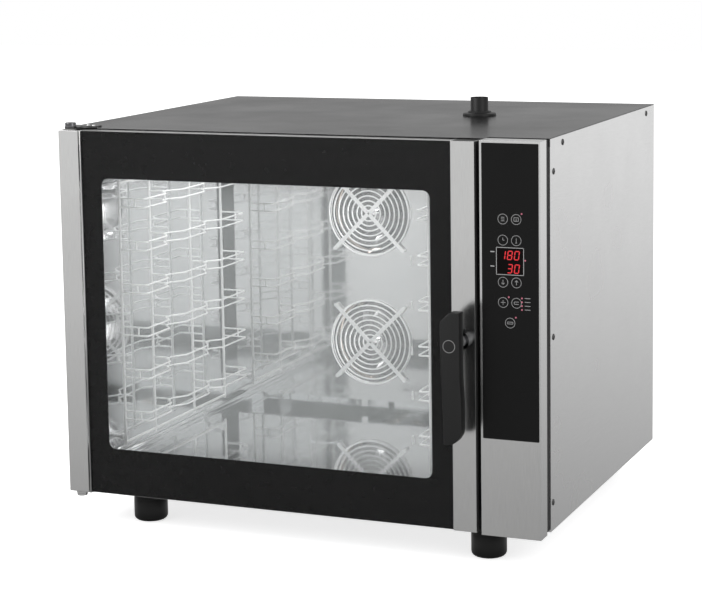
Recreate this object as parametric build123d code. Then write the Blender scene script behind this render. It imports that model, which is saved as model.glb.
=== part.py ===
from build123d import *
import os
from math import asin, cos, degrees, radians, sin

os.makedirs("parts", exist_ok=True)

# Combi steamer oven, millimetres. All sizes below are measured from the body's left side (x),
# from the front plane of the control box (y, growing to the rear) and from the body's underside (z).
# The parts are written with the origin on the floor, under the middle of the whole oven.

# ---- driving dimensions ----
width = 930.0
body_height = 690.0
foot_height = 62.0
body_front = 55.0  # the body's front face lies behind the door and the control box
body_back = 757.0
reach_front = 66.0  # the handle's front face, ahead of the control box
reach_back = 35.0  # pipe ends behind the back panel
sheet = 1.2

door_right = 813.0
door_low, door_high = 3.5, 687.5
door_skin = -2.0
door_inside = 40.0
lip_front = 34.0  # the top sheet's lip over the door
strip_left = 41.0
strip_right = 770.0
window = (85.0, 730.0, 91.0, 600.0)
window_radius = 14.0
inner_opening = (61.0, 723.5, 70.0, 598.0)  # in the sheet that carries the gasket's seat
hinge_x, hinge_y = 14.0, 20.0
pin_radius = 5.0

box_left, box_depth = 821.5, 35.0
panel = (825.5, 927.0, 173.0, 686.0)
display = (851.5, 900.5, 461.0, 508.0)

cavity = (55.0, 722.0, 55.0, 596.0)
cavity_back = 650.0
cove = 20.0
fan_x = 383.0
front_skin = body_front + 1.4  # plane of the front frame, behind the folded edges

baffle_y = 575.0
baffle = (75.0, 702.0, 80.0, 574.0)
fan_heights = {"lower": 203.0, "upper": 471.0}
suction_radius = 84.0
guard_radius = 97.0
impeller_radius = 76.0
element_radius = 88.0
leg_offset = 20.0
leg_drop = (element_radius**2 - leg_offset**2) ** 0.5
shaft_radius = 6.0
running = 0.05  # radial clearance of a turning fit
injector_y, injector_z = 606.0, 300.0

rack_offset = 23.0  # uprights, off the side wall
rail_offset = {"left": 76.0, "right": 46.0}  # tray rails, off the side wall
rail_jog = {"left": 19.0, "right": 12.0}
rack_foot, rack_head = 78.0, 588.0
rack_depths = (80.0, 198.0, 365.0, 505.0)
level_low, level_pitch, levels = 129.0, 81.6, 6
rail_gap = 16.0
upright_radius, rail_radius = 3.0, 2.0

vent_x, vent_y, vent_top = 670.0, 438.0, 725.0
vent_radius, vent_neck = 17.0, 16.0  # the hose end on top, and the pipe below it
flap_z = 660.0
drain_x, drain_y, drain_z, drain_radius = 383.0, 330.0, -22.0, 15.0
drain_collar = 40.0
handle_x, handle_z = 788.0, 344.0
cam_reach = 15.0  # from the spindle to the middle of the cam's nose
keeper_x = 739.0
board_x = 764.0
foot_places = {"front": ((124.6, 86.0), (805.4, 86.0)), "rear": ((124.6, 690.0), (805.4, 690.0))}
screw_places = ((129, 676.6), (695, 676.3), (75.5, 631.6), (72.5, 343.5), (69, 50.7))
inlet_x, inlet_z = 880.0, 60.0
gland_x, gland_z = 880.0, 125.0
bond_x, bond_z = 835.0, 45.0

row_origin = Pos(-width / 2, -(body_back + reach_back - reach_front) / 2, foot_height)


# ---- helpers ----
def slab(x0, x1, y0, y1, z0, z1):
    """A box between two corners."""
    size = (x1 - x0, y1 - y0, z1 - z0)
    return Pos((x0 + x1) / 2, (y0 + y1) / 2, (z0 + z1) / 2) * Box(*size)


def rod(start, end, radius):
    """A round bar from one point to another."""
    start, end = Vector(*start), Vector(*end)
    axis = end - start
    return Plane(origin=start, z_dir=axis) * Pos(0, 0, axis.length / 2) * Cylinder(radius, axis.length)


def plate(x0, x1, z0, z1, y0, y1, corner):
    """An upright plate with rounded corners, between two depths."""
    face = Plane.XZ * Pos((x0 + x1) / 2, (z0 + z1) / 2) * RectangleRounded(x1 - x0, z1 - z0, corner)
    return Pos(0, y1, 0) * extrude(face, amount=y1 - y0)


def ring_plate(outer, inner, y0, y1, outer_corner, inner_corner):
    """An upright frame, from two (x0, x1, z0, z1) outlines."""
    body = plate(*outer, y0, y1, outer_corner)
    return body - plate(*inner, y0 - 1, y1 + 1, inner_corner)


def write(name, part):
    """Move a part to the row's origin and write its STEP file."""
    moved = row_origin * part
    export_step(moved, f"parts/{name}.step")


# ---- body shell ----
def make_base_pan():
    inner_side, inner_back = sheet + 0.2, body_back - sheet - 0.3
    outer = slab(inner_side, width - inner_side, front_skin + sheet + 0.2, inner_back, 0, 18)
    hollow_side = inner_side + 1.5
    hollow = slab(hollow_side, width - hollow_side, front_skin + sheet + 1.7, inner_back - 1.5, 1.5, 19)
    pan = outer - hollow
    pan -= rod((drain_x, drain_y, -1), (drain_x, drain_y, 3), drain_radius + 2)
    for x, y in foot_places["front"] + foot_places["rear"]:
        pan -= rod((x, y, -1), (x, y, 3), 5.2)
    return pan


def make_top_panel():
    top = slab(0, width, body_front, body_back, body_height - sheet, body_height)
    top += slab(0, width, body_front, body_front + sheet, body_height - 14, body_height)
    top += slab(62, box_left, lip_front, body_front, body_height - sheet, body_height)
    return top - rod((vent_x, vent_y, body_height - 5), (vent_x, vent_y, body_height + 5), vent_radius + 0.4)


def make_side_panel(side):
    x0, x1 = (0, sheet) if side == "left" else (width - sheet, width)
    fold0, fold1 = (0, 14) if side == "left" else (width - 14, width)
    low, high = 0, body_height - 14.3
    sheet_part = slab(x0, x1, body_front, body_back, low, body_height - sheet - 0.1)
    sheet_part -= slab(x0 - 1, x1 + 1, body_front - 1, body_front + sheet + 0.1, high, body_height)
    sheet_part += slab(fold0, fold1, body_front, body_front + sheet, low, high)
    for y, z in screw_places:
        sheet_part -= rod((x0 - 1, y, z), (x1 + 1, y, z), 2.1)
    return sheet_part


def make_back_panel():
    side = sheet + 0.2
    back = slab(side, width - side, body_back - sheet, body_back, 0, body_height - sheet - 0.1)
    back -= rod((inlet_x, body_back - 5, inlet_z), (inlet_x, body_back + 5, inlet_z), 13.6)
    back -= rod((gland_x, body_back - 5, gland_z), (gland_x, body_back + 5, gland_z), 10.4)
    back -= rod((bond_x, body_back - 5, bond_z), (bond_x, body_back + 5, bond_z), 3.2)
    for row in range(8):
        z = 420 + 22 * row
        back -= plate(770, 900, z, z + 7, body_back - 5, body_back + 5, 3.4)
    for row in range(6):
        z = 300 + 22 * row
        back -= plate(330, 436, z, z + 7, body_back - 5, body_back + 5, 3.4)
    return back


def make_front_frame():
    side = sheet + 0.2
    outer = (side, width - side, 0, body_height - sheet - 0.1)
    frame = ring_plate(outer, cavity, front_skin, front_skin + sheet, 1, cove)
    return frame - slab(836, 916, front_skin - 1, front_skin + 3, 150, 600)


# ---- cavity ----
def make_cavity_liner():
    x0, x1, z0, z1 = cavity
    wall = 1.5
    front = front_skin + sheet
    outer = (x0 - wall, x1 + wall, z0 - wall, z1 + wall)
    liner = ring_plate(outer, cavity, front, cavity_back, cove + wall, cove)
    liner += plate(*outer, cavity_back, cavity_back + wall, cove + wall)
    for z in fan_heights.values():
        liner -= rod((fan_x, cavity_back - 5, z), (fan_x, cavity_back + 5, z), 12)
        for side in (-1, 1):
            leg = (fan_x + side * leg_offset, z - leg_drop)
            liner -= rod((leg[0], cavity_back - 5, leg[1]), (leg[0], cavity_back + 5, leg[1]), 4.3)
    liner -= rod((drain_x, drain_y, z0 - 5), (drain_x, drain_y, z0 + 5), drain_radius + 0.3)
    liner -= rod((vent_x, vent_y, z1 - 5), (vent_x, vent_y, z1 + 5), vent_neck + 0.3)
    return liner - rod((x1 - 5, injector_y, injector_z), (x1 + 5, injector_y, injector_z), 5.3)


def make_insulation():
    """Five slabs of mineral wool around the cavity, with holes for what passes through."""
    x0, x1, z0, z1 = cavity
    gap, thick, front = 1.7, 31.0, front_skin + sheet + 0.4
    near, far = gap + 0.4, gap + thick
    back0 = cavity_back + gap
    left = slab(x0 - far, x0 - near, front, cavity_back, z0 - far, z1 + far)
    right = slab(x1 + near, x1 + far, front, cavity_back, z0 - far, z1 + far)
    bottom = slab(x0 - gap, x1 + gap, front, cavity_back, z0 - far, z0 - gap)
    top = slab(x0 - gap, x1 + gap, front, cavity_back, z1 + gap, z1 + far)
    back = slab(x0 - far, x1 + far, back0 + 0.2, back0 + 28, z0 - far, z1 + far)
    right -= rod((x1, injector_y, injector_z), (x1 + 50, injector_y, injector_z), 7)
    bottom -= rod((drain_x, drain_y, 0), (drain_x, drain_y, 60), drain_radius + 2)
    top -= rod((vent_x, vent_y, z1 - 10), (vent_x, vent_y, z1 + 50), vent_radius + 2)
    for z in fan_heights.values():
        back -= rod((fan_x, cavity_back, z), (fan_x, cavity_back + 40, z), 12)
        for side in (-1, 1):
            leg = (fan_x + side * leg_offset, z - leg_drop)
            back -= rod((leg[0], cavity_back, leg[1]), (leg[0], cavity_back + 40, leg[1]), 5)
    return Compound(children=[left, right, bottom, top, back])


def make_door_gasket():
    x0, x1, z0, z1 = cavity
    inner = (x0 - 1, x1 + 1, z0 - 1, z1 + 1)
    outer = (x0 - 13, x1 + 13, z0 - 13, z1 + 13)
    base = ring_plate(outer, inner, body_front - 8, front_skin, cove + 12, cove)
    lip_out = (outer[0] + 3, outer[1] - 3, outer[2] + 3, outer[3] - 3)
    lip_in = (inner[0] - 3, inner[1] + 3, inner[2] - 3, inner[3] + 3)
    return base + ring_plate(lip_out, lip_in, door_inside + 0.4, body_front - 7, cove + 9, cove + 3)


def make_baffle_plate():
    x0, x1, z0, z1 = baffle
    fold = 24.0
    part = slab(x0, x1, baffle_y, baffle_y + sheet, z0, z1)
    for edge in (x0, x1 - sheet):
        part += slab(edge, edge + sheet, baffle_y, baffle_y + fold, z0, z1)
    part += slab(x0, x1, baffle_y, baffle_y + 10, z0, z0 + sheet)
    for z in fan_heights.values():
        part -= rod((fan_x, baffle_y - 5, z), (fan_x, baffle_y + 5, z), suction_radius)
    for x in (x0 + 40, x1 - 40):
        for z in (z0 + 40, z1 - 40):
            part += rod((x, baffle_y + sheet, z), (x, cavity_back, z), 5)
    part += slab(fan_x - 24, fan_x - 10, baffle_y, baffle_y + sheet, z0 - 14, z0 + 1)
    return part


def make_fan_guard(z):
    wire = 1.7
    pitch = 11.4
    y = baffle_y - 5.2
    hub = 17.0
    guard = None
    radius = hub
    while radius < guard_radius + 1:
        hoop = Plane(origin=(fan_x, y, z), z_dir=(0, 1, 0)) * Torus(radius, wire)
        guard = hoop if guard is None else guard + hoop
        radius += pitch
    for corner in range(4):
        turn = radians(45 + 90 * corner)
        start = (fan_x + 10 * cos(turn), y + 2.2, z + 10 * sin(turn))
        reach = guard_radius + 9
        end = (fan_x + reach * cos(turn), y + 2.2, z + reach * sin(turn))
        foot = (end[0], baffle_y, end[2])
        guard += rod(start, end, 2.0)
        guard += rod((end[0], y, end[2]), foot, 3.5)
    return guard


def make_heating_element(z):
    """A ring around the impeller with a gap at the bottom, and two legs through the rear wall."""
    tube, y = 4.0, 616.0
    half_gap = degrees(asin(leg_offset / element_radius))
    first = Vector(fan_x + leg_offset, y, z - leg_drop)
    section = Plane(origin=first, x_dir=(0, 1, 0), z_dir=(leg_drop, 0, leg_offset)) * Circle(tube)
    part = revolve(section, Axis((fan_x, y, z), (0, -1, 0)), 360 - 2 * half_gap)
    for side in (-1, 1):
        leg = (fan_x + side * leg_offset, z - leg_drop)
        part += Pos(leg[0], y, leg[1]) * Sphere(tube)
        part += rod((leg[0], y, leg[1]), (leg[0], cavity_back + 45, leg[1]), tube)
    return part


def make_rack(side):
    """A wire rack: four uprights, and at each level two wires with jogs beside the middle uprights."""
    wall = cavity[0] if side == "left" else cavity[1]
    inward = 1 if side == "left" else -1
    upright_x = wall + inward * rack_offset
    rail_x = wall + inward * rail_offset[side]
    jog_x = rail_x - inward * rail_jog[side]
    meet_x = upright_x + inward * upright_radius
    first, second, third, last = rack_depths
    path = [(meet_x, first), (rail_x, first), (rail_x, second - 30), (jog_x, second - 8), (jog_x, second + 8),
            (rail_x, second + 36), (rail_x, third - 36), (jog_x, third - 8), (jog_x, third + 8),
            (rail_x, third + 30), (rail_x, last), (meet_x, last)]
    line = FilletPolyline(*[(x, y, 0) for x, y in path], radius=4)
    start = Plane(origin=line @ 0, z_dir=line % 0)
    rail = sweep(start * Circle(rail_radius), path=line)
    wires = []
    for depth in rack_depths:
        wires.append(rod((upright_x, depth, rack_foot), (upright_x, depth, rack_head), upright_radius))
    for level in range(levels):
        for step in (0, rail_gap):
            wires.append(Pos(0, 0, level_low + level * level_pitch + step) * rail)
    return Compound(children=wires)


def make_rack_pegs():
    pegs = []
    for wall, inward in ((cavity[0], 1), (cavity[1], -1)):
        for depth in (rack_depths[0], rack_depths[3]):
            for z in (95.0, 565.0):
                reach = wall + inward * (rack_offset - 3.2)
                peg = rod((wall, depth, z), (reach, depth, z), 4)
                head = rod((wall + inward * 14, depth, z), (reach, depth, z), 7)
                pegs.append(peg + head)
    return Compound(children=pegs)


def make_drain_strainer():
    z = cavity[2]
    disc = rod((drain_x, drain_y, z), (drain_x, drain_y, z + 2), 30)
    for ring, count in ((9, 6), (19, 12)):
        for step in range(count):
            turn = radians(360 * step / count)
            x, y = drain_x + ring * cos(turn), drain_y + ring * sin(turn)
            disc -= rod((x, y, z - 1), (x, y, z + 3), 2.6)
    return disc


def pipe_along(points, bend, outer, inner):
    """A bent tube along straight runs."""
    line = FilletPolyline(*points, radius=bend)
    start = Plane(origin=line @ 0, z_dir=line % 0)
    return sweep(start * Circle(outer), path=line) - sweep(start * Circle(inner), path=line)


def make_drain_pipe():
    route = [(drain_x, drain_y, cavity[2] - 0.2), (drain_x, drain_y, drain_z),
             (drain_x, body_back + reach_back, drain_z)]
    pipe = pipe_along(route, 28, drain_radius, drain_radius - 1.5)
    collar_start = (drain_x, body_back + reach_back - drain_collar, drain_z)
    collar = rod(collar_start, route[-1], drain_radius + 1)
    return pipe + (collar - rod(collar_start, route[-1], drain_radius))


def make_steam_injector():
    x1, y, z = cavity[1], injector_y, injector_z
    tube = rod((x1 - 240, y, z), (x1 + 40, y, z), 5)
    return tube - rod((x1 - 236, y, z), (x1 + 41, y, z), 3.8)


# ---- motors, fans, vent ----
def make_motor(z):
    face = cavity_back + 30.5
    motor = slab(fan_x - 60, fan_x + 60, face, face + 3, z - 60, z + 60)
    motor += rod((fan_x, face + 3, z), (fan_x, face + 62, z), 50)
    for step in range(5):
        y = face + 12 + 9 * step
        motor += rod((fan_x, y, z), (fan_x, y + 3, z), 54)
    for side in (-1, 1):
        leg = (fan_x + side * leg_offset, z - leg_drop)
        motor -= rod((leg[0], face - 1, leg[1]), (leg[0], face + 20, leg[1]), 5)
    return motor - rod((fan_x, face - 1, z), (fan_x, face + 44, z), shaft_radius + running)


def make_fan_shaft(z):
    return rod((fan_x, 596, z), (fan_x, cavity_back + 70, z), shaft_radius)


def make_impeller(z):
    blades = 12
    back, front = 634.0, 600.0
    part = rod((fan_x, back, z), (fan_x, back + 2, z), impeller_radius)
    part += rod((fan_x, back - 24, z), (fan_x, back + 2, z), 14)
    rim = rod((fan_x, front, z), (fan_x, front + 1.5, z), impeller_radius)
    rim -= rod((fan_x, front - 1, z), (fan_x, front + 3, z), impeller_radius - 14)
    part += rim
    for step in range(blades):
        blade = Pos(58, 0, 0) * Rot(0, 0, 35) * Box(26, 1.5, back - front - 1)
        placed = Plane(origin=(fan_x, (back + front + 1) / 2, z), z_dir=(0, 1, 0)) * blade
        part += placed.rotate(Axis((fan_x, 0, z), (0, 1, 0)), 360 * step / blades)
    return part - rod((fan_x, front - 9, z), (fan_x, back + 5, z), shaft_radius)


def make_vent_pipe():
    pipe = rod((vent_x, vent_y, cavity[3] - 1), (vent_x, vent_y, vent_top), vent_neck)
    pipe += rod((vent_x, vent_y, body_height + 10), (vent_x, vent_y, vent_top), vent_radius)
    pipe -= rod((vent_x, vent_y, cavity[3] - 2), (vent_x, vent_y, vent_top + 1), vent_neck - 1.2)
    return pipe - rod((vent_x - 30, vent_y, flap_z), (vent_x + 30, vent_y, flap_z), 2 + running)


def make_vent_ring():
    ring = rod((vent_x, vent_y, body_height), (vent_x, vent_y, body_height + 5), 32)
    ring += rod((vent_x, vent_y, body_height), (vent_x, vent_y, body_height + 9), 22)
    return ring - rod((vent_x, vent_y, body_height - 1), (vent_x, vent_y, body_height + 10), vent_neck + 0.02)


def make_vent_flap():
    disc = rod((vent_x, vent_y, flap_z - 0.8), (vent_x, vent_y, flap_z + 0.8), vent_neck - 1.7)
    return disc + rod((vent_x - 24, vent_y, flap_z), (vent_x + 31, vent_y, flap_z), 2)


def make_vent_actuator():
    part = slab(vent_x + 22, vent_x + 52, vent_y - 20, vent_y + 20, flap_z - 20, flap_z + 20)
    part -= rod((vent_x + 20, vent_y, flap_z), (vent_x + 32, vent_y, flap_z), 2 + running)
    return part + slab(vent_x + 30, vent_x + 44, vent_y - 12, vent_y + 12, flap_z - 30, flap_z - 19)


# ---- services ----
def make_water_valve():
    y = body_back
    valve = rod((inlet_x, y - 50, inlet_z), (inlet_x, y + 1, inlet_z), 12.4)
    valve += rod((inlet_x, y + 0.5, inlet_z), (inlet_x, y + 18.5, inlet_z), 13.2)
    valve += rod((inlet_x, y - 16, inlet_z), (inlet_x, y - sheet - 0.1, inlet_z), 19)
    valve += slab(inlet_x - 18, inlet_x + 18, y - 60, y - 24, inlet_z - 16, inlet_z + 34)
    return valve - rod((inlet_x, y - 12, inlet_z), (inlet_x, y + 20, inlet_z), 9)


def make_cable_gland():
    y = body_back
    gland = rod((gland_x, y - 22, gland_z), (gland_x, y + 12, gland_z), 10)
    nut = extrude(Plane(origin=(gland_x, y, gland_z), z_dir=(0, 1, 0)) * RegularPolygon(15, 6), amount=7)
    dome = rod((gland_x, y + 7, gland_z), (gland_x, y + 26, gland_z), 12.5)
    inside = Plane(origin=(gland_x, y - 7.5, gland_z), z_dir=(0, 1, 0)) * RegularPolygon(15, 6)
    gland += nut + dome + extrude(inside, amount=6)
    return gland - rod((gland_x, y - 30, gland_z), (gland_x, y + 30, gland_z), 7)


def make_bonding_stud():
    y = body_back
    stud = rod((bond_x, y - 14, bond_z), (bond_x, y + 18, bond_z), 3)
    for start in (y - 7, y + 0.1):
        nut = Plane(origin=(bond_x, start, bond_z), z_dir=(0, 1, 0)) * RegularPolygon(5.8, 6)
        stud += extrude(nut, amount=5)
    return stud


def make_foot(x, y):
    foot = rod((x, y, -foot_height), (x, y, -2), 32)
    foot = fillet(foot.faces().sort_by(Axis.Z)[0].edges(), 9)
    foot = chamfer(foot.faces().sort_by(Axis.Z)[-1].edges(), 2)
    foot -= rod((x, y, -3), (x, y, 0), 20)
    foot += rod((x, y, -4), (x, y, 0), 14)
    return foot + rod((x, y, -4), (x, y, 16), 5)


# ---- control side ----
def make_control_box():
    box = slab(box_left, width, 0, box_depth, 0, body_height)
    box -= slab(box_left + sheet, width - sheet, sheet, box_depth + 1, sheet, body_height - sheet)
    for x in (box_left + sheet, width - sheet - 10):
        box += slab(x, x + 10, box_depth - sheet, box_depth, sheet, body_height - sheet)
    return box - slab(display[0] + 2, display[1] - 2, -1, 3, display[2] + 2, display[3] - 2)


def make_control_membrane():
    part = plate(*panel, -0.5, 0, 1.5)
    return part - plate(*display, -2, 1, 1.5)


def make_display_window():
    x0, x1, z0, z1 = display
    return plate(x0 + 0.2, x1 - 0.2, z0 + 0.2, z1 - 0.2, -0.6, 0, 1.2)


def make_control_board():
    board = slab(834, 918, 14, 15.6, 360, 600)
    board += slab(855, 897, 5, 14.5, 464, 505)
    for x in (840, 912):
        for z in (366, 594):
            board += rod((x, sheet + 0.1, z), (x, 14.5, z), 3)
    return board + slab(850, 900, 15, 27, 560, 580) + slab(845, 865, 15, 22, 400, 430)


def make_control_spacer():
    outer = (box_left + 2.5, width - 2.5, 3, body_height - 3)
    inner = (box_left + 13, width - 13, 16, body_height - 16)
    return ring_plate(outer, inner, box_depth + 0.1, body_front - 0.1, 1, 1)


def make_power_board():
    face = board_x + 1
    board = slab(board_x, board_x + 1.6, 120, 420, 150, 430)
    for y in (130, 410):
        for z in (160, 420):
            board += rod((board_x - 7.5, y, z), (board_x + 0.5, y, z), 4)
    for step in range(4):
        board += slab(face, face + 22, 140 + 60 * step, 175 + 60 * step, 360, 400)
    board += slab(face, face + 47, 160, 250, 180, 260)
    terminals = slab(face, face + 15, 280, 400, 170, 195)
    for step in range(6):
        y = 285 + 19 * step
        terminals -= slab(face + 5, face + 16, y, y + 12, 175, 190)
    return board + terminals


def make_cavity_lamp():
    x1 = cavity[1]
    lamp = rod((x1 - 14, 160, 520), (x1 - 0.1, 160, 520), 27)
    return fillet(lamp.faces().sort_by(Axis.X)[0].edges(), 9)


# ---- hinge side and door ----
def hinge_bracket(z_plate, z_pin0, z_pin1, z_flange0, z_flange1, z_boss0, z_boss1):
    """A plate that carries the pivot pin, folded against the body's front."""
    z0, z1 = z_plate
    outline = slab(hinge_x - 11, 60, hinge_y, body_front - 0.1, z0, z1)
    outline += rod((hinge_x, hinge_y, z0), (hinge_x, hinge_y, z1), 11)
    outline += slab(hinge_x - 11, 60, body_front - 3, body_front - 0.1, z_flange0, z_flange1)
    outline += rod((hinge_x, hinge_y, z_pin0), (hinge_x, hinge_y, z_pin1), pin_radius)
    cut = rod((62, hinge_y - 8, z0 - 1), (62, hinge_y - 8, z1 + 1), 30)
    outline += rod((hinge_x, hinge_y, z_boss0), (hinge_x, hinge_y, z_boss1), 10)
    return outline - cut


def make_hinge_bracket_top():
    return hinge_bracket((689, 693), 664, 693, 664, 693, 692, 700)


def make_hinge_bracket_bottom():
    return hinge_bracket((-4, 0), 0, 26, -4, 22, -9, -3)


def make_hinge_bushes():
    reach = pin_radius + running
    bushes = []
    for flange0, flange1, low, high in ((0.3, 3.3, 0.3, 24), (687.7, 688.7, 666, 688.7)):
        bush = rod((hinge_x, hinge_y, low), (hinge_x, hinge_y, high), 8)
        bush += rod((hinge_x, hinge_y, flange0), (hinge_x, hinge_y, flange1), 11)
        bushes.append(bush - rod((hinge_x, hinge_y, low - 1), (hinge_x, hinge_y, high + 1), reach))
    return Compound(children=bushes)


def make_door_profile(x0, x1):
    """An upright channel, open to the rear."""
    profile = slab(x0, x1, door_skin, 36, door_low, door_high)
    profile -= slab(x0 + 1.5, x1 - 1.5, door_skin + 1.5, 37, door_low - 1, door_high + 1)
    for start, end in ((x0 + 1, x0 + 9), (x1 - 9, x1 - 1)):
        profile += slab(start, end, 34.5, 36, door_low, door_high)
    return profile


def make_door_profile_right():
    profile = make_door_profile(strip_right + 0.2, door_right)
    return profile - rod((handle_x, -5, handle_z), (handle_x, 2, handle_z), 8)


def make_door_rails():
    """The top and bottom channels, each open towards the window."""
    depth = 26.0
    top = slab(strip_left + 0.3, strip_right, 4, 36, door_high - depth, door_high)
    top -= slab(strip_left, strip_right + 1, 5.5, 34.5, door_high - depth - 1, door_high - 1.5)
    bottom = slab(strip_left + 0.3, strip_right, 4, 36, door_low, door_low + depth)
    bottom -= slab(strip_left, strip_right + 1, 5.5, 34.5, door_low + 1.5, door_low + depth + 1)
    return Compound(children=[top, bottom])


def make_door_glass_outer():
    return plate(strip_left + 3.5, strip_right - 0.3, door_low + 0.3, door_high - 0.3, door_skin + 0.4, 3, 1)


def make_door_glass_print():
    outer = (strip_left + 3.8, strip_right - 0.6, door_low + 0.6, door_high - 0.6)
    return ring_plate(outer, window, 3.1, 3.5, 1, window_radius)


def make_door_frame_inner():
    x0, x1, z0, z1 = inner_opening
    outer = (3, door_right - 2, door_low + 2, door_high - 2)
    frame = ring_plate(outer, inner_opening, 36.2, door_inside, 3, window_radius)
    frame -= ring_plate((5, door_right - 4, door_low + 4, door_high - 4),
                        (x0 - 6, x1 + 6, z0 - 6, z1 + 6), 35, door_inside - sheet, 2, window_radius)
    return frame - rod((handle_x, 30, handle_z), (handle_x, 45, handle_z), 8)


def make_door_glass_inner():
    x0, x1, z0, z1 = inner_opening
    return plate(x0 - 14, x1 + 14, z0 - 14, z1 + 14, 31.8, 36, 8)


def make_door_end_caps():
    caps = []
    for x0, x1, pivot in ((1.7, strip_left - 1.7, True), (strip_right + 1.9, door_right - 1.7, False)):
        for z0, z1 in ((door_low, door_low + 20), (door_high - 20, door_high)):
            cap = slab(x0, x1, 0, 34.3, z0, z1)
            if pivot:
                cap -= rod((hinge_x, hinge_y, z0 - 1), (hinge_x, hinge_y, z1 + 1), 8)
            caps.append(cap)
    return Compound(children=caps)


def make_door_edge_seal():
    return slab(door_right + 0.05, door_right + 2, 1, 35, door_low + 1, door_high - 1)


# ---- handle and latch ----
def make_handle_rosette():
    rosette = rod((handle_x, -12, handle_z), (handle_x, door_skin - 0.1, handle_z), 17)
    rosette += rod((handle_x, -40, handle_z), (handle_x, -11, handle_z), 14)
    rosette = fillet(rosette.edges().filter_by(GeomType.CIRCLE).sort_by(Axis.Y)[0], 2)
    rosette += rod((handle_x, -5, handle_z), (handle_x, 20, handle_z), 7.8)
    return rosette - rod((handle_x, -45, handle_z), (handle_x, 25, handle_z), shaft_radius + running)


def make_handle_lever():
    outline = [(789, 402), (804, 402), (806, 400), (806, 290), (809, 240), (809, 200), (807.5, 191),
               (803, 183), (797, 176.5), (790, 173), (779, 172), (777, 174), (771.5, 360), (771.5, 386)]
    face = make_face(Polyline(*outline, close=True))
    lever = Pos(0, -43, 0) * extrude(Plane.XZ * face, amount=23)
    lever = fillet(lever.faces().sort_by(Axis.Y)[0].edges(), 1.2)
    socket = rod((handle_x, -56, handle_z), (handle_x, -42, handle_z), shaft_radius)
    return lever - socket


def make_handle_spindle():
    return rod((handle_x, -56, handle_z), (handle_x, 51, handle_z), shaft_radius)


def make_latch_cam():
    cam = rod((handle_x, 43, handle_z), (handle_x, 50, handle_z), 12)
    cam += slab(handle_x - cam_reach, handle_x, 43, 50, handle_z - 7, handle_z + 7)
    cam += rod((handle_x - cam_reach, 43, handle_z), (handle_x - cam_reach, 50, handle_z), 7)
    return cam - rod((handle_x, 42, handle_z), (handle_x, 51, handle_z), shaft_radius)


def make_latch_keeper():
    base = slab(keeper_x, keeper_x + 24, 53, front_skin, handle_z - 30, handle_z + 30)
    base += slab(keeper_x + 4, keeper_x + 22, 42, 54, handle_z - 22, handle_z + 22)
    return base - slab(keeper_x + 9, keeper_x + 27, 44.5, 51, handle_z - 12, handle_z + 12)


# ---- fasteners ----
def screw_head(x, y, z, outward):
    """A domed screw head and its shank through a side panel."""
    head = rod((x, y, z), (x + outward * 2, y, z), 6)
    head = fillet(head.faces().sort_by(Axis.X)[-1 if outward > 0 else 0].edges(), 1.6)
    return head + rod((x - outward * 8, y, z), (x, y, z), 2)


def make_side_screws():
    heads = []
    for x, outward in ((0, -1), (width, 1)):
        for y, z in screw_places:
            heads.append(screw_head(x, y, z, outward))
    return Compound(children=heads)


def make_all():
    write("base_pan", make_base_pan())
    write("top_panel", make_top_panel())
    for side in ("left", "right"):
        write(f"side_panel_{side}", make_side_panel(side))
        write(f"rack_{side}", make_rack(side))
    write("back_panel", make_back_panel())
    write("front_frame", make_front_frame())
    write("cavity_liner", make_cavity_liner())
    write("insulation", make_insulation())
    write("door_gasket", make_door_gasket())
    write("baffle_plate", make_baffle_plate())
    for place, z in fan_heights.items():
        write(f"fan_guard_{place}", make_fan_guard(z))
        write(f"heating_element_{place}", make_heating_element(z))
        write(f"motor_{place}", make_motor(z))
        write(f"fan_shaft_{place}", make_fan_shaft(z))
        write(f"impeller_{place}", make_impeller(z))
    write("rack_pegs", make_rack_pegs())
    write("drain_strainer", make_drain_strainer())
    write("drain_pipe", make_drain_pipe())
    write("steam_injector", make_steam_injector())
    write("cavity_lamp", make_cavity_lamp())
    write("vent_pipe", make_vent_pipe())
    write("vent_ring", make_vent_ring())
    write("vent_flap", make_vent_flap())
    write("vent_actuator", make_vent_actuator())
    write("water_valve", make_water_valve())
    write("cable_gland", make_cable_gland())
    write("bonding_stud", make_bonding_stud())
    for end, places in foot_places.items():
        write(f"{end}_feet", Compound(children=[make_foot(x, y) for x, y in places]))
    write("control_box", make_control_box())
    write("control_membrane", make_control_membrane())
    write("display_window", make_display_window())
    write("control_board", make_control_board())
    write("control_spacer", make_control_spacer())
    write("power_board", make_power_board())
    write("hinge_bracket_top", make_hinge_bracket_top())
    write("hinge_bracket_bottom", make_hinge_bracket_bottom())
    write("hinge_bushes", make_hinge_bushes())
    write("door_profile_left", make_door_profile(0, strip_left))
    write("door_profile_right", make_door_profile_right())
    write("door_rails", make_door_rails())
    write("door_glass_outer", make_door_glass_outer())
    write("door_glass_print", make_door_glass_print())
    write("door_frame_inner", make_door_frame_inner())
    write("door_glass_inner", make_door_glass_inner())
    write("door_end_caps", make_door_end_caps())
    write("door_edge_seal", make_door_edge_seal())
    write("handle_rosette", make_handle_rosette())
    write("handle_lever", make_handle_lever())
    write("handle_spindle", make_handle_spindle())
    write("latch_cam", make_latch_cam())
    write("latch_keeper", make_latch_keeper())
    write("side_screws", make_side_screws())


make_all()
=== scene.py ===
import math

import bmesh
import bpy
from mathutils import Matrix, Vector


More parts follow.
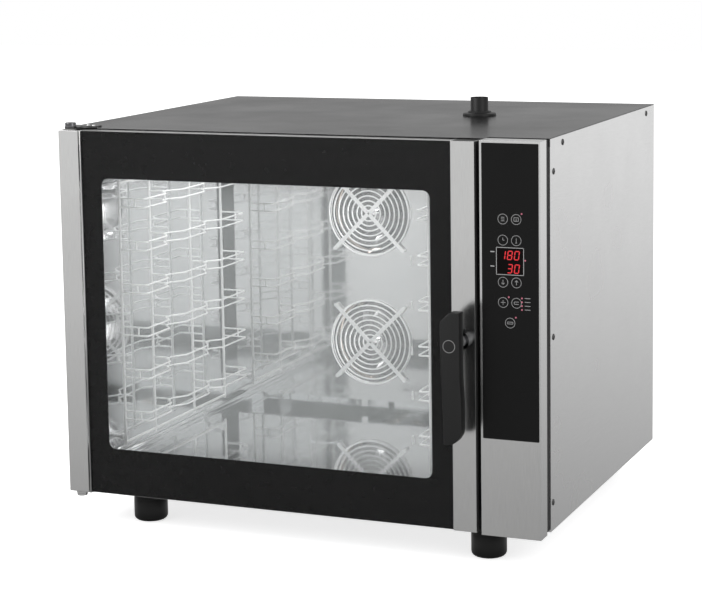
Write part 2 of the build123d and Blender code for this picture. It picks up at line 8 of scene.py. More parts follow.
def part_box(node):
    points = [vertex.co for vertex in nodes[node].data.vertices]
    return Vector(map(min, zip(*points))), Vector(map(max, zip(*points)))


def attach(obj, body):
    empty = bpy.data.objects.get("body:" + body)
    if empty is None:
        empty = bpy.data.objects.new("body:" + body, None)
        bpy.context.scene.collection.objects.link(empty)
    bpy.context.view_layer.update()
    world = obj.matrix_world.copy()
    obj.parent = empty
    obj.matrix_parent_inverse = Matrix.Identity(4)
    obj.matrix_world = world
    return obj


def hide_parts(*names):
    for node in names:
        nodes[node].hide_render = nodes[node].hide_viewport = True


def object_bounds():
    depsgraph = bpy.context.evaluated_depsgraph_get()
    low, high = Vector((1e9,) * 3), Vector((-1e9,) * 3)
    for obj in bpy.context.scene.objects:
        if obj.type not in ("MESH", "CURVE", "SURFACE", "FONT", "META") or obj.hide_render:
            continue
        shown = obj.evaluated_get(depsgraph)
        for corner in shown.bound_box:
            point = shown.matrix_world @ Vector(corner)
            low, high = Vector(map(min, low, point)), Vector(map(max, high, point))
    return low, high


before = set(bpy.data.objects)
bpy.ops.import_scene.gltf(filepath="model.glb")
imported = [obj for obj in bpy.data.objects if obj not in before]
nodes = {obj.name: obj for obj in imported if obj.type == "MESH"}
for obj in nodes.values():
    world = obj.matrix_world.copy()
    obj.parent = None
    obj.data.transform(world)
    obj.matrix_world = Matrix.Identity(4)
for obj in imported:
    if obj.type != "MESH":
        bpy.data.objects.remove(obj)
cadLow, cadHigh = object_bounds()
print("frame loaded:", len(nodes), "nodes")

# Everything below is placed in millimetres from the oven's left side, front plane and underside.
millimetre = 0.001
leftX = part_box("door_profile_left")[0].x
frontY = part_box("control_box")[0].y
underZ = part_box("control_box")[0].z


def at(x, y, z):
    return Vector((leftX + x * millimetre, frontY + y * millimetre, underZ + z * millimetre))


def spot(point):  # the same, back from the frame's metres
    return Vector(((point.x - leftX), (point.y - frontY), (point.z - underZ))) / millimetre


def span(node):  # a node's lowest and highest corners, in the same millimetres
    low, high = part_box(node)
    return spot(low), spot(high)


# satin and polished steel, mouldings and glass, each with its own grain

def newMaterial(name):
    material = bpy.data.materials.new(name)
    material.use_nodes = True
    return material, material.node_tree.nodes["Principled BSDF"]


def stretchedNoise(tree, stretch, scale, detail=3.0):
    coords = tree.nodes.new("ShaderNodeTexCoord")
    mapping = tree.nodes.new("ShaderNodeMapping")
    noise = tree.nodes.new("ShaderNodeTexNoise")
    mapping.inputs["Scale"].default_value = stretch
    noise.inputs["Scale"].default_value = scale
    noise.inputs["Detail"].default_value = detail
    tree.links.new(coords.outputs["Object"], mapping.inputs["Vector"])
    tree.links.new(mapping.outputs["Vector"], noise.inputs["Vector"])
    return noise


def spread(tree, source, low, high, socket):  # a noise's 0.3 to 0.7 becomes low to high
    scale = tree.nodes.new("ShaderNodeMapRange")
    scale.inputs["From Min"].default_value = 0.3
    scale.inputs["From Max"].default_value = 0.7
    scale.inputs["To Min"].default_value = low
    scale.inputs["To Max"].default_value = high
    tree.links.new(source.outputs["Fac"], scale.inputs["Value"])
    tree.links.new(scale.outputs["Result"], socket)


def tint(tree, source, dark, light, socket):
    ramp = tree.nodes.new("ShaderNodeValToRGB")
    ramp.color_ramp.elements[0].position = 0.3
    ramp.color_ramp.elements[0].color = (*dark, 1)
    ramp.color_ramp.elements[1].position = 0.7
    ramp.color_ramp.elements[1].color = (*light, 1)
    tree.links.new(source.outputs["Fac"], ramp.inputs["Fac"])
    tree.links.new(ramp.outputs["Color"], socket)


def bumpFrom(tree, source, strength, distance, shader):
    bump = tree.nodes.new("ShaderNodeBump")
    bump.inputs["Strength"].default_value = strength
    bump.inputs["Distance"].default_value = distance
    tree.links.new(source.outputs["Fac"], bump.inputs["Height"])
    tree.links.new(bump.outputs["Normal"], shader.inputs["Normal"])


def surface(name, look):
    material, shader = newMaterial(name)
    tree = material.node_tree
    grain = stretchedNoise(tree, look["stretch"], look["scale"])
    dark = tuple(c * (1 - look["tone"]) for c in look["colour"])
    light = tuple(min(1.0, c * (1 + look["tone"])) for c in look["colour"])
    tint(tree, grain, dark, light, shader.inputs["Base Color"])
    cloud = stretchedNoise(tree, (1, 1, 1), look["cloud"], 2.0)
    spread(tree, cloud, look["rough"] - look["roughSpread"], look["rough"] + look["roughSpread"],
           shader.inputs["Roughness"])
    bumpFrom(tree, grain, look["bump"], look["depth"], shader)
    shader.inputs["Metallic"].default_value = look["metal"]
    shader.inputs["Specular IOR Level"].default_value = look["specular"]
    # a rim below 1 dims the shine at a glancing angle
    shader.inputs["Specular Tint"].default_value = (look["rim"],) * 3 + (1,)
    return material


def steel(name, colour, rough, stretch=(1, 1, 60), tone=0.05, bump=0.08, metal=1.0, rim=1.0):
    look = {"colour": colour, "rough": rough, "roughSpread": 0.03, "stretch": stretch, "scale": 40,
            "tone": tone, "cloud": 6, "bump": bump, "depth": 0.0002, "metal": metal, "specular": 0.5, "rim": rim}
    return surface(name, look)


def plastic(name, colour, rough, bump=0.15, scale=900, specular=0.5):
    look = {"colour": colour, "rough": rough, "roughSpread": 0.04, "stretch": (1, 1, 1), "scale": scale,
            "tone": 0.08, "cloud": 14, "bump": bump, "depth": 0.0002, "metal": 0.0, "specular": specular,
            "rim": 1.0}
    return surface(name, look)


def clearGlass(name, alpha, colour):
    material, shader = newMaterial(name)
    tree = material.node_tree
    film = stretchedNoise(tree, (1, 1, 1), 3, 2.0)
    spread(tree, film, alpha * 0.9, alpha * 1.1, shader.inputs["Alpha"])
    shader.inputs["Base Color"].default_value = (*colour, 1)
    shader.inputs["Roughness"].default_value = 0.03
    shader.inputs["Specular IOR Level"].default_value = 0.65
    return material


def glowing(name, colour, strength):
    material, shader = newMaterial(name)
    tree = material.node_tree
    flicker = stretchedNoise(tree, (1, 1, 1), 300, 1.0)
    bright = tuple(min(1.0, c * 1.05) for c in colour)
    tint(tree, flicker, colour, bright, shader.inputs["Emission Color"])
    shader.inputs["Base Color"].default_value = tuple(c * 0.2 for c in colour) + (1,)
    shader.inputs["Emission Strength"].default_value = strength
    return material


steelVertical = steel("satinSteelUpright", (0.66, 0.66, 0.655), 0.22, (60, 60, 1))
steelSide = steel("satinSteelSide", (0.70, 0.70, 0.70), 0.26, (1, 1, 60))
# painted shade: the top sheet is the same satin steel as the sides, given a much darker base colour and a dimmed
# glancing shine (rim 0.62) to stand in for the darker light it reflects
steelTopPaintedShade = steel("satinSteelTopPaintedShade", (0.18, 0.18, 0.18), 0.24, (1, 60, 1), rim=0.62)
steelPlain = steel("plainSheet", (0.50, 0.50, 0.51), 0.38, (20, 20, 1))
steelMirror = steel("polishedCavitySteel", (0.84, 0.85, 0.855), 0.06, (3, 3, 3), 0.02, 0.03)
steelBaffle = steel("polishedBaffleSteel", (0.80, 0.80, 0.80), 0.06, (3, 3, 3), 0.02, 0.03)
steelWire = steel("brightWire", (0.84, 0.84, 0.84), 0.30, (8, 8, 8), 0.03, 0.04, 0.30)
steelImpeller = steel("impellerSteel", (0.16, 0.16, 0.16), 0.45, (6, 6, 6), 0.05, 0.05)
steelRosette = steel("darkChrome", (0.16, 0.16, 0.165), 0.14, (4, 4, 4), 0.03, 0.02)
steelDark = steel("darkScrewSteel", (0.10, 0.10, 0.10), 0.35, (4, 4, 4))
steelTurned = steel("turnedSteel", (0.70, 0.70, 0.70), 0.20, (1, 60, 1))
steelTinted = steel("heatTintedSteel", (0.36, 0.31, 0.27), 0.34, (5, 5, 5), 0.15)
castGrey = plastic("motorEnamel", (0.10, 0.11, 0.12), 0.45)
blackFilm = plastic("blackPanelFilm", (0.005, 0.005, 0.005), 0.25, 0.02, 1400, 0.12)
blackPrint = plastic("blackEnamelOnGlass", (0.003, 0.003, 0.003), 0.12, 0.0, 50, 0.1)
blackHandle = plastic("blackHandleMoulding", (0.008, 0.008, 0.008), 0.42, 0.25, 1500, 0.3)
blackFoot = plastic("blackFootMoulding", (0.003, 0.003, 0.003), 0.38, 0.2, 900, 0.25)
blackRubber = plastic("siliconeRubber", (0.010, 0.010, 0.010), 0.55, 0.2, 700, 0.3)
smokedWindow = plastic("smokedDisplay", (0.002, 0.001, 0.001), 0.25, 0.0, 60, 0.08)
whiteMoulding = plastic("whiteMoulding", (0.66, 0.66, 0.64), 0.45)
boardGreen = plastic("boardLacquer", (0.02, 0.12, 0.05), 0.35)
woolYellow = plastic("mineralWool", (0.55, 0.48, 0.30), 0.95, 0.9, 120, 0.1)
brassPlain = steel("plainBrass", (0.66, 0.48, 0.20), 0.28, (6, 6, 6))
paneGlass = clearGlass("toughenedPane", 0.05, (0.05, 0.05, 0.05))
# painted reflection: the inner pane's pale base colour at alpha 0.15 lays a whitish veil over the cavity,
# standing in for the glass's reflection
paneReflectionVeil = clearGlass("innerPanePaintedReflection", 0.15, (0.80, 0.84, 0.84))
lampGlass = clearGlass("frostedLens", 0.85, (0.85, 0.85, 0.80))
digitRed = glowing("redSegments", (0.70, 0.016, 0.024), 0.9)
lampRed = glowing("redIndicator", (0.50, 0.14, 0.20), 0.7)
legendGrey = plastic("printedLegend", (0.24, 0.24, 0.24), 0.5, 0.0, 300)

nodeFinish = {
    steelVertical: ["door_profile_left", "door_profile_right", "door_rails", "control_box", "front_frame",
                    "door_frame_inner", "latch_keeper", "hinge_bracket_bottom"],
    steelSide: ["side_panel_left", "side_panel_right"],
    steelTopPaintedShade: ["top_panel"],
    steelPlain: ["base_pan", "back_panel", "drain_pipe", "steam_injector"],
    steelMirror: ["cavity_liner", "drain_strainer"],
    steelBaffle: ["baffle_plate"],
    steelWire: ["rack_left", "rack_right", "rack_pegs", "fan_guard_lower", "fan_guard_upper"],
    steelDark: ["side_screws", "hinge_bracket_top"],
    steelTurned: ["handle_spindle", "latch_cam", "fan_shaft_lower", "fan_shaft_upper", "vent_flap"],
    steelImpeller: ["impeller_lower", "impeller_upper"],
    steelRosette: ["handle_rosette"],
    steelTinted: ["heating_element_lower", "heating_element_upper"],
    castGrey: ["motor_lower", "motor_upper"],
    blackFilm: ["control_membrane"],
    blackPrint: ["door_glass_print"],
    blackHandle: ["handle_lever", "vent_pipe", "vent_ring"],
    blackFoot: ["front_feet", "rear_feet", "door_end_caps", "cable_gland"],
    blackRubber: ["door_gasket", "control_spacer", "door_edge_seal"],
    smokedWindow: ["display_window"],
    whiteMoulding: ["vent_actuator", "water_valve", "hinge_bushes"],
    boardGreen: ["control_board", "power_board"],
    woolYellow: ["insulation"],
    brassPlain: ["bonding_stud"],
    paneGlass: ["door_glass_outer"],
    paneReflectionVeil: ["door_glass_inner"],
    lampGlass: ["cavity_lamp"],
}
for material, names in nodeFinish.items():
    for name in names:
        nodes[name].data.materials.clear()
        nodes[name].data.materials.append(material)
print("finishes given to", sum(len(names) for names in nodeFinish.values()), "nodes")


# ways to make a piece

def keepPiece(name, bm, material, body, stands=(), sharp=35):
    bmesh.ops.remove_doubles(bm, verts=bm.verts, dist=1e-6)
    bmesh.ops.recalc_face_normals(bm, faces=bm.faces)
    for face in bm.faces:
        face.smooth = True
    for edge in bm.edges:
        edge.smooth = len(edge.link_faces) == 2 and edge.calc_face_angle(0) < math.radians(sharp)
    mesh = bpy.data.meshes.new(name)
    bm.to_mesh(mesh)
    bm.free()
    mesh.materials.append(material)
    piece = bpy.data.objects.new(name, mesh)
    bpy.context.scene.collection.objects.link(piece)
    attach(piece, body)
    if stands:
        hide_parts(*stands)
    return piece


def roundBar(bm, start, end, radius, sides=12):  # a closed round bar between two points
    axis = end - start
    turn = axis.to_track_quat("Z", "Y").to_matrix().to_4x4()
    place = Matrix.Translation((start + end) / 2) @ turn
    bmesh.ops.create_cone(bm, cap_ends=True, segments=sides, radius1=radius, radius2=radius, depth=axis.length,
                          matrix=place)


def wirePiece(name, runs, radius, material, body, stands=()):  # runs: (points, closed)
    curve = bpy.data.curves.new(name, "CURVE")
    curve.dimensions = "3D"
    curve.bevel_depth = radius
    curve.bevel_resolution = 3
    curve.use_fill_caps = True
    for points, closed in runs:
        spline = curve.splines.new("POLY")
        spline.points.add(len(points) - 1)
        for place, point in zip(spline.points, points):
            place.co = (*point, 1)
        spline.use_cyclic_u = closed
        spline.use_smooth = True
    curve.materials.append(material)
    piece = bpy.data.objects.new(name, curve)
    bpy.context.scene.collection.objects.link(piece)
    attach(piece, body)
    if stands:
        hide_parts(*stands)
    return piece


def roundedRun(corners, radius, steps=5):  # straight runs with arcs at the corners
    points = [corners[0]]
    for before, corner, after in zip(corners, corners[1:], corners[2:]):
        inward, outward = (before - corner).normalized(), (after - corner).normalized()
        half = inward.angle(outward) / 2
        reach = min(radius / math.tan(half), (before - corner).length / 2, (after - corner).length / 2)
        start, end = corner + inward * reach, corner + outward * reach
        for step in range(steps + 1):
            share = step / steps
            points.append(start.lerp(corner, share).lerp(corner.lerp(end, share), share))
    return points + [corners[-1]]


def addPlate(bm, corners, y, thick):  # a thin plate facing the front, from its outline in x and z
    verts = [bm.verts.new(at(x, y, z)) for x, z in corners]
    face = bm.faces.new(verts)
    push = bmesh.ops.extrude_face_region(bm, geom=[face])
    raised = [item for item in push["geom"] if isinstance(item, bmesh.types.BMVert)]
    bmesh.ops.translate(bm, vec=(0, -thick * millimetre, 0), verts=raised)


def ringPoints(centre, radius, count=64):
    return [centre + Vector((radius * math.cos(2 * math.pi * n / count), 0,
                             radius * math.sin(2 * math.pi * n / count))) for n in range(count)]


def softened(node, width, body, material, segments=2, sharp=30):  # the node's own shape with eased edges
    bm = bmesh.new()
    bm.from_mesh(nodes[node].data)
    bmesh.ops.remove_doubles(bm, verts=bm.verts, dist=2e-6)
    bmesh.ops.dissolve_limit(bm, angle_limit=math.radians(1), verts=bm.verts, edges=bm.edges)
    piece = keepPiece(node + ".eased", bm, material, body, [node], sharp)
    bevel = piece.modifiers.new("easedEdges", "BEVEL")
    bevel.width = width * millimetre
    bevel.segments = segments
    bevel.limit_method = "ANGLE"
    bevel.angle_limit = math.radians(sharp)
    bevel.harden_normals = True
    return piece


# sheet edges: width of the easing in mm, body, slot, finish
easedEdges = {
    "door_profile_left": (1.1, "door", "satin_steel", steelVertical),
    "door_profile_right": (1.1, "door", "satin_steel", steelVertical),
    "control_box": (1.0, "cabinet", "satin_steel", steelVertical),
    "side_panel_left": (0.5, "cabinet", "satin_steel", steelSide),
    "side_panel_right": (0.5, "cabinet", "satin_steel", steelSide),
    "top_panel": (0.55, "cabinet", "top_steel", steelTopPaintedShade),
    "hinge_bracket_top": (0.7, "cabinet", "screw_dark", steelDark),
    "hinge_bracket_bottom": (0.7, "cabinet", "satin_steel", steelVertical),
}
for name, (width, body, slot, material) in easedEdges.items():
    softened(name, width, body, material)
print("sheet edges eased")


trim = {"width": 2.8, "gapLeft": 2.5, "front": -1.9, "back": 3.0, "edge": 0.6}


def makeGlassTrim():  # a thin steel edge between the left upright and the glass
    left = span("door_profile_left")[1].x + trim["gapLeft"]
    right = left + trim["width"]
    glassLow, glassHigh = span("door_glass_outer")
    bm = bmesh.new()
    corners = [(left, glassLow.z), (right, glassLow.z), (right, glassHigh.z), (left, glassHigh.z)]
    addPlate(bm, corners, trim["back"], trim["back"] - trim["front"])
    bmesh.ops.bevel(bm, geom=bm.edges[:], offset=trim["edge"] * millimetre, segments=2, profile=0.5,
                    affect="EDGES", material=-1)
    keepPiece("glassEdgeTrim", bm, steelVertical, "door")


hingeHead = {"boss": 11.0, "radius": 10.3, "height": 7.8, "bevel": 1.6, "proud": 0.3,
             "screwRadius": 3.6, "screwHeight": 2.2}


def makeHingeCap():  # the turned head on the top pivot, and the two screws that hold its bracket
    low, high = span("hinge_bracket_top")
    pivot = (low.x + hingeHead["boss"], low.y + hingeHead["boss"])
    base = high.z + hingeHead["proud"] - hingeHead["height"]
    rim, crown, ease = hingeHead["radius"], hingeHead["height"], hingeHead["bevel"]
    profile = [(rim, 0), (rim, crown - ease), (rim - ease * 0.3, crown - ease * 0.3), (rim - ease, crown),
               (3.2, crown), (2.8, crown - 1.6), (0, crown - 1.6)]
    spinPiece("hingeHead", profile, [(pivot[0], pivot[1], base)], steelRosette, "cabinet")
    head, proud = hingeHead["screwRadius"], hingeHead["screwHeight"]
    profile = [(head, 0), (head, proud * 0.4), (head * 0.75, proud * 0.9), (head * 0.4, proud), (0, proud)]
    places = [(high.x - 10, high.y - 12, base), (high.x - 24, high.y - 8, base)]
    spinPiece("hingeScrews", profile, places, steelTurned, "cabinet", sides=24)


makeGlassTrim()
print("door edges trimmed")


rack = {"wall": 55.0, "upright": 23.0, "rail": {"left": 76.0, "right": 46.0},
        "jog": {"left": 19.0, "right": 12.0}, "depths": (80.0, 198.0, 365.0, 505.0),
        "low": 129.0, "pitch": 81.6, "levels": 6, "gap": 16.0, "foot": 78.0, "head": 588.0,
        "uprightRadius": 2.7, "wireRadius": 1.6, "bend": 7.0, "link": 34.0}
cavityMid = (span("baffle_plate")[0].x + span("baffle_plate")[1].x) / 2  # the racks stand to both sides of it


def makeRack(side):
    sign = -1 if side == "left" else 1
    wallX = cavityMid + sign * (cavityMid - rack["wall"])
    uprightX = wallX - sign * rack["upright"]
    railX = wallX - sign * rack["rail"][side]
    jogX = railX + sign * rack["jog"][side]
    first, second, third, last = rack["depths"]
    rodRuns = []
    for depth in rack["depths"]:
        rodRuns.append(([at(uprightX, depth, rack["foot"]), at(uprightX, depth, rack["head"])], False))
    for height in (rack["foot"] + 6, rack["head"] - 6):  # a bar along the wall ties the uprights
        rodRuns.append(([at(uprightX, first, height), at(uprightX, last, height)], False))
    wireRuns = []
    plan = [(uprightX, first), (railX, first), (railX, second - 30), (jogX, second - 8), (jogX, second + 8),
            (railX, second + 36), (railX, third - 36), (jogX, third - 8), (jogX, third + 8), (railX, third + 30),
            (railX, last), (uprightX, last)]
    for level in range(rack["levels"]):
        low = rack["low"] + level * rack["pitch"]
        for height in (low, low + rack["gap"]):
            corners = [at(x, y, height) for x, y in plan]
            wireRuns.append((roundedRun(corners, rack["bend"] * millimetre), False))
            for depth in (second, third):
                wireRuns.append(([at(uprightX, depth, height), at(jogX, depth, height)], False))
        linkX = uprightX - sign * rack["link"]
        for x, depth in ((linkX, first), (jogX, second), (jogX, third), (linkX, last)):
            wireRuns.append(([at(x, depth, low), at(x, depth, low + rack["gap"])], False))
    title = side.capitalize()
    wirePiece("rackUprights" + title, rodRuns, rack["uprightRadius"] * millimetre, steelWire, "cabinet")
    wirePiece("rackRails" + title, wireRuns, rack["wireRadius"] * millimetre, steelWire, "cabinet",
              ["rack_" + side])


for side in ("left", "right"):
    makeRack(side)
print("racks bent and welded")


guard = {"hoops": 9, "hub": 5.6, "pitch": 10.2, "hoopRadius": 1.5, "barStart": 2.0, "barWidth": 8.0,
         "barThick": 1.2, "footReach": 18.6, "lift": 5.2, "turn": 45.0}


def makeGuard(place):
    low, high = span("fan_guard_" + place)
    centre = (low + high) / 2
    faceY = span("baffle_plate")[0].y - guard["lift"]
    hoops = []
    for n in range(guard["hoops"]):
        radius = guard["hub"] + n * guard["pitch"]
        hoops.append((ringPoints(at(centre.x, faceY, centre.z), radius * millimetre), True))
    outer = guard["hub"] + (guard["hoops"] - 1) * guard["pitch"]
    bm = bmesh.new()
    front, back = faceY - guard["hoopRadius"] - guard["barThick"], faceY - guard["hoopRadius"]
    for n in range(4):
        angle = math.radians(guard["turn"] + 90 * n)
        along = Vector((math.cos(angle), math.sin(angle)))
        across = Vector((-along.y, along.x)) * guard["barWidth"] / 2
        tip = outer + guard["footReach"]
        flat = [along * guard["barStart"] - across]
        for step in range(9):  # the rounded end
            turn = math.radians(-90 + 22.5 * step)
            flat.append(along * (tip + guard["barWidth"] / 2 * math.cos(turn)) + across * math.sin(turn))
        flat.append(along * guard["barStart"] + across)
        addPlate(bm, [(centre.x + p.x, centre.z + p.y) for p in flat], back, back - front)
        screwAt = along * tip
        roundBar(bm, at(centre.x + screwAt.x, faceY + guard["lift"], centre.z + screwAt.y),
                 at(centre.x + screwAt.x, front - 1.2, centre.z + screwAt.y), 2.6 * millimetre, 20)
    title = place.capitalize()
    keepPiece("guardBars" + title, bm, steelWire, "cabinet")
    wirePiece("guardHoops" + title, hoops, guard["hoopRadius"] * millimetre, steelWire, "cabinet",
              ["fan_guard_" + place])


for place in ("lower", "upper"):
    makeGuard(place)
print("fan guards wound")


handle = {"outline": [(789, 402), (806, 402), (806.3, 290), (809, 240), (809, 200), (807.5, 191), (803, 183),
                      (797, 176.5), (790, 173), (777, 172), (771.5, 360), (771.5, 386)],
          "front": -65.8, "back": -43.0, "edge": 1.6, "segments": 4, "ringRadius": 11.0, "ringWidth": 0.8,
          "ringProud": 0.18, "pivot": (788.0, 344.0)}


def makeHandle():
    bm = bmesh.new()
    corners = [bm.verts.new(at(x, handle["back"], z)) for x, z in handle["outline"]]
    face = bm.faces.new(corners)
    push = bmesh.ops.extrude_face_region(bm, geom=[face])
    front = [item for item in push["geom"] if isinstance(item, bmesh.types.BMVert)]
    depth = (handle["front"] - handle["back"]) * millimetre
    bmesh.ops.translate(bm, vec=(0, depth, 0), verts=front)
    bmesh.ops.bevel(bm, geom=bm.edges[:], offset=handle["edge"] * millimetre, segments=handle["segments"],
                    profile=0.5, affect="EDGES", material=-1, clamp_overlap=True)
    keepPiece("handleLever", bm, blackHandle, "handle", ["handle_lever"], 30)


def flatRing(bm, x, y, z, radius, width, thick, sides=48):  # a thin ring on a front-facing surface
    square = [(radius, 0), (radius, thick), (radius - width, thick), (radius - width, 0)]
    verts = [bm.verts.new(at(x + reach, y - proud, z)) for reach, proud in square]
    edges = [bm.edges.new((verts[n - 1], verts[n])) for n in range(4)]
    bmesh.ops.spin(bm, geom=verts + edges, cent=at(x, y, z), axis=(0, 1, 0), angle=2 * math.pi, steps=sides,
                   use_merge=True)


def makeHandleRing():
    bm = bmesh.new()
    x, z = handle["pivot"]
    flatRing(bm, x, handle["front"], z, handle["ringRadius"], handle["ringWidth"], handle["ringProud"])
    keepPiece("handlePivotRing", bm, legendGrey, "handle")


makeHandle()
makeHandleRing()
print("handle shaped")


digits = {"rows": [("180", 487.6), ("30", 464.6)], "right": 891.0, "height": 14.4, "width": 7.6, "stroke": 1.7,
          "pitch": 12.4, "slant": 0.14, "face": -0.6, "thick": 0.12}
segmentsOf = {"0": "abcdef", "1": "bc", "3": "abcdg", "8": "abcdefg"}


def segmentOutline(name):  # ends of each bar in the digit's unit box: width 1, height 2
    return {"a": ((0, 2), (1, 2)), "b": ((1, 2), (1, 1)), "c": ((1, 1), (1, 0)), "d": ((0, 0), (1, 0)),
            "e": ((0, 0), (0, 1)), "f": ((0, 1), (0, 2)), "g": ((0, 1), (1, 1))}[name]


def addStroke(bm, start, end, stroke, y, thick, pointed=True):
    a, b = Vector(start), Vector(end)
    along = (b - a).normalized()
    across = Vector((-along.y, along.x)) * stroke / 2
    gap = along * stroke * (0.62 if pointed else 0)
    tip = along * stroke / 2 if pointed else Vector((0, 0))
    a, b = a + gap, b - gap
    outline = [a - across, b - across, b + tip, b + across, a + across, a - tip]
    if not pointed:
        outline = [a - across, b - across, b + across, a + across]
    addPlate(bm, [(p.x, p.y) for p in outline], y, thick)


def makeDigits():
    bm = bmesh.new()
    for text, baseZ in digits["rows"]:
        startX = digits["right"] - digits["width"] - (len(text) - 1) * digits["pitch"]
        for index, letter in enumerate(text):
            for name in segmentsOf[letter]:
                ends = []
                for across, up in segmentOutline(name):
                    x = startX + index * digits["pitch"] + across * digits["width"]
                    z = baseZ + up * digits["height"] / 2
                    ends.append((x + (z - baseZ) * digits["slant"], z))
                addStroke(bm, ends[0], ends[1], digits["stroke"], digits["face"], digits["thick"])
    keepPiece("displayDigits", bm, digitRed, "cabinet")


keys = {"places": [(863.3, 556.7), (887.3, 556.7), (863.3, 520.5), (887.3, 520.5), (863.3, 448), (887.3, 448),
                   (863.3, 413), (887.3, 413), (875.7, 378)],
        "radius": 9.0, "line": 0.8, "face": -0.5, "thick": 0.1}
marks = {  # each key's sign as short strokes, from the key's middle
    0: [((-3, -3), (3, -3)), ((-3, 0), (3, 0)), ((-3, 3), (3, 3))],
    1: [((-4, -3), (-4, 3)), ((-4, 3), (4, 3)), ((4, 3), (4, -3)), ((4, -3), (-4, -3)), ((0, -3), (0, 1))],
    2: [((0, 0), (0, 4)), ((0, 0), (3, 0))],
    3: [((0, -4), (0, 4)), ((-1.5, -4), (1.5, -4))],
    4: [((0, 4), (0, -4)), ((0, -4), (-2.6, -1.2)), ((0, -4), (2.6, -1.2))],
    5: [((0, -4), (0, 4)), ((0, 4), (-2.6, 1.2)), ((0, 4), (2.6, 1.2))],
    6: [((-4, 0), (4, 0)), ((0, -4), (0, 4))],
    7: [((-4, -2), (4, -2)), ((-4, 2), (4, 2)), ((-4, -2), (-4, 2))],
    8: [((-5, 1.6), (5, 1.6)), ((-5, -1.6), (5, -1.6)), ((-5, -1.6), (-5, 1.6)), ((5, -1.6), (5, 1.6))],
}


def makeLegends():
    bm = bmesh.new()
    for index, (x, z) in enumerate(keys["places"]):
        flatRing(bm, x, keys["face"], z, keys["radius"], keys["line"], keys["thick"], 40)
        for start, end in marks[index]:
            first, last = (x + start[0], z + start[1]), (x + end[0], z + end[1])
            addStroke(bm, first, last, keys["line"] * 1.1, keys["face"], keys["thick"], False)
    low, high = span("display_window")
    frameX, frameZ = (low.x, high.x), (low.z, high.z)
    frameY, line = keys["face"] - 0.1, keys["line"] * 1.5
    for z in frameZ:  # the display's outline
        addStroke(bm, (frameX[0] - line / 2, z), (frameX[1] + line / 2, z), line, frameY, keys["thick"], False)
    for x in frameX:
        addStroke(bm, (x, frameZ[0]), (x, frameZ[1]), line, frameY, keys["thick"], False)
    for z in (500, 475):  # unit marks beside the display
        addStroke(bm, (841, z), (848, z), 2.0, keys["face"], keys["thick"], False)
    for row in range(4):  # scale marks beside the indicators
        z = 422 - 6.6 * row
        addStroke(bm, (902, z), (912, z), 1.0, keys["face"], keys["thick"], False)
    keepPiece("keyLegends", bm, legendGrey, "cabinet")


lampDots = {"places": [(897, 566.6), (903, 487), (873.6, 422.7), (886, 388)],
            "rowX": 897, "rowZ": 402, "rowPitch": 6.6, "rows": 4, "radius": 1.5, "face": -0.5, "thick": 0.35}


def makeLampDots():
    bm = bmesh.new()
    row = [(lampDots["rowX"], lampDots["rowZ"] + lampDots["rowPitch"] * n) for n in range(lampDots["rows"])]
    for x, z in lampDots["places"] + row:
        base = at(x, lampDots["face"], z)
        tip = at(x, lampDots["face"] - lampDots["thick"], z)
        roundBar(bm, base, tip, lampDots["radius"] * millimetre, 16)
    keepPiece("indicatorLamps", bm, lampRed, "cabinet")


makeDigits()
makeLegends()
makeLampDots()
print("display and keys drawn")


# profile: (radius, height) pairs
def spinPiece(name, profile, places, material, body, stands=(), sides=64):
    bm = bmesh.new()
    for x, y, z in places:
        verts = [bm.verts.new(at(x + radius, y, z + height)) for radius, height in profile]
        edges = [bm.edges.new(pair) for pair in zip(verts, verts[1:])]
        bmesh.ops.spin(bm, geom=verts + edges, cent=at(x, y, z), axis=(0, 0, 1), angle=2 * math.pi,
                       steps=sides, use_merge=True)
    return keepPiece(name, bm, material, body, stands, 40)


foot = {"radius": 32.0, "height": 62.0, "bottomRound": 9.0, "neck": 14.0, "stud": 5.0, "studTop": 16.0}


def makeFeet(end):
    low, high = span(end + "_feet")
    middleY = (low.y + high.y) / 2
    places = [(x, middleY, 0) for x in (low.x + foot["radius"], high.x - foot["radius"])]
    profile = [(0, -foot["height"])]
    for step in range(7):  # the rounded lower edge
        turn = math.radians(-90 + 15 * step)
        profile.append((foot["radius"] - foot["bottomRound"] + foot["bottomRound"] * math.cos(turn),
                        -foot["height"] + foot["bottomRound"] + foot["bottomRound"] * math.sin(turn)))
    rim, neck, stud, top = foot["radius"], foot["neck"], foot["stud"], foot["studTop"]
    profile += [(rim, -20), (rim - 0.8, -19), (rim - 0.8, -17), (rim, -16), (rim, -4), (rim - 1.5, -2),
                (neck + 4, -2), (neck, -1), (neck, 0), (stud, 0), (stud, top), (0, top)]
    spinPiece(end + "Feet", profile, places, blackFoot, "cabinet", [end + "_feet"])


for end in ("front", "rear"):
    makeFeet(end)
makeHingeCap()

vent = {"pipeRadius": 17.0, "wall": 1.2, "ringRadius": 32.0, "collarRadius": 22.0}


def makeVent():
    low, high = span("vent_pipe")
    x, y = (low.x + high.x) / 2, (low.y + high.y) / 2
    outer, inner, top = vent["pipeRadius"], vent["pipeRadius"] - vent["wall"], high.z
    profile = [(inner, low.z), (inner, top), (outer - 0.3, top), (outer, top - 0.4), (outer, low.z),
               (inner, low.z)]
    spinPiece("ventPipe", profile, [(x, y, 0)], blackHandle, "cabinet", ["vent_pipe"])
    ringLow, ringHigh = span("vent_ring")
    base, crown, rim = ringLow.z, ringHigh.z, vent["ringRadius"]
    profile = [(outer + 0.1, base), (outer + 0.1, crown), (vent["collarRadius"] - 1, crown),
               (vent["collarRadius"], crown - 1), (vent["collarRadius"] + 1, base + 6), (rim - 2, base + 5),
               (rim - 0.5, base + 4), (rim, base + 2.5), (rim, base), (outer + 0.1, base)]
    spinPiece("ventRing", profile, [(x, y, 0)], blackHandle, "cabinet", ["vent_ring"])


